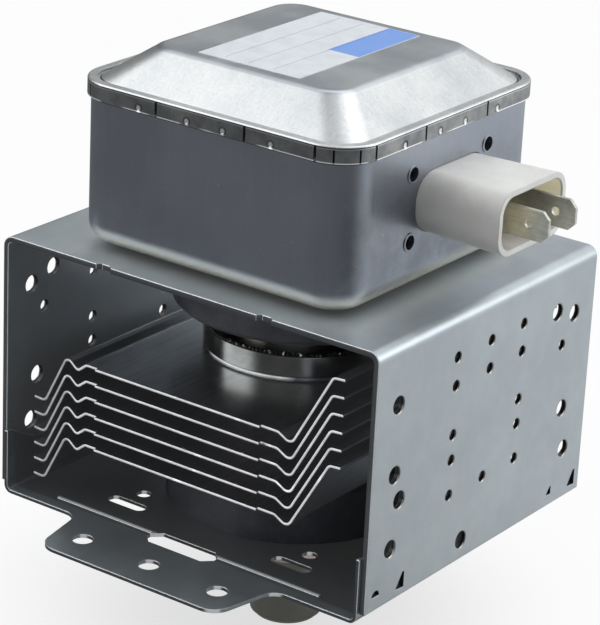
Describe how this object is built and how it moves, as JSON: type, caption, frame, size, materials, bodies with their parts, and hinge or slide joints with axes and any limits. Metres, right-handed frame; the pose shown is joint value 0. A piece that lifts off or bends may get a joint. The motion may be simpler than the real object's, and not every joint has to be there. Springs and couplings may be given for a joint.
{
  "type": "magnetron",
  "caption": "Microwave-oven magnetron with a folded steel yoke, slanted cooling fins, ring magnets, a lidded filter box, a white capacitor socket and a mounting plate with tabs.",
  "frame": {"origin": "on the antenna axis, at the underside of the mounting plate", "axes": "+Z along the antenna axis from the mounting plate towards the filter box, +X towards the socket with the push-on tabs, -Y towards the open front"},
  "size_m": [0.108, 0.1124, 0.1303],
  "materials": {
    "yoke_steel": "zinc-plated sheet, satin",
    "plate_steel": "zinc-plated sheet, satin",
    "box_steel": "drawn sheet, half bright",
    "lid_steel": "brushed by the drawing tool",
    "label_paper": "matt white film",
    "ferrite": "dull black ferrite",
    "fin_aluminium": "mill finish, faintly bright",
    "copper": "copper with a dull bloom",
    "nickel_steel": "nickel-plated, satin",
    "alumina": "pale pink, matt",
    "tungsten": "dark grey",
    "wire_mesh": "knitted wire",
    "white_plastic": "moulded white plastic",
    "potting": "cream casting resin",
    "tinned_brass": "dull tin plating",
    "winding_copper": "enamelled copper wire"
  },
  "bodies": {
    "root": {"anode_cylinder": "copper", "anode_vanes": "copper", "antenna_cap": "nickel_steel", "antenna_insulator": "alumina", "antenna_lead": "copper", "antenna_ring": "nickel_steel", "blank_label": "label_paper", "capacitor_flange": "box_steel", "capacitor_housing": "white_plastic", "capacitor_rivets": "box_steel", "cathode_rod_centre": "tungsten", "cathode_rod_side": "tungsten", "choke_coil_1": "winding_copper", "choke_coil_2": "winding_copper", "choke_core_1": "ferrite", "choke_core_2": "ferrite", "contact_gasket": "wire_mesh", "cooling_fin_1": "fin_aluminium", "cooling_fin_2": "fin_aluminium", "cooling_fin_3": "fin_aluminium", "cooling_fin_4": "fin_aluminium", "cooling_fin_5": "fin_aluminium", "cooling_fin_6": "fin_aluminium", "end_shield_lower": "tungsten", "end_shield_upper": "tungsten", "feedthrough_capacitor": "potting", "filament": "tungsten", "filter_box": "box_steel", "filter_box_lid": "lid_steel", "lower_magnet": "ferrite", "lower_pole_piece": "nickel_steel", "lower_vessel": "nickel_steel", "mounting_plate": "plate_steel", "push_on_tab_1": "tinned_brass", "push_on_tab_2": "tinned_brass", "stem_insulator": "alumina", "stem_ring": "nickel_steel", "strap_rings": "copper", "upper_magnet": "ferrite", "upper_pole_piece": "nickel_steel", "upper_vessel": "nickel_steel", "yoke": "yoke_steel"}
  },
  "joints": []
}
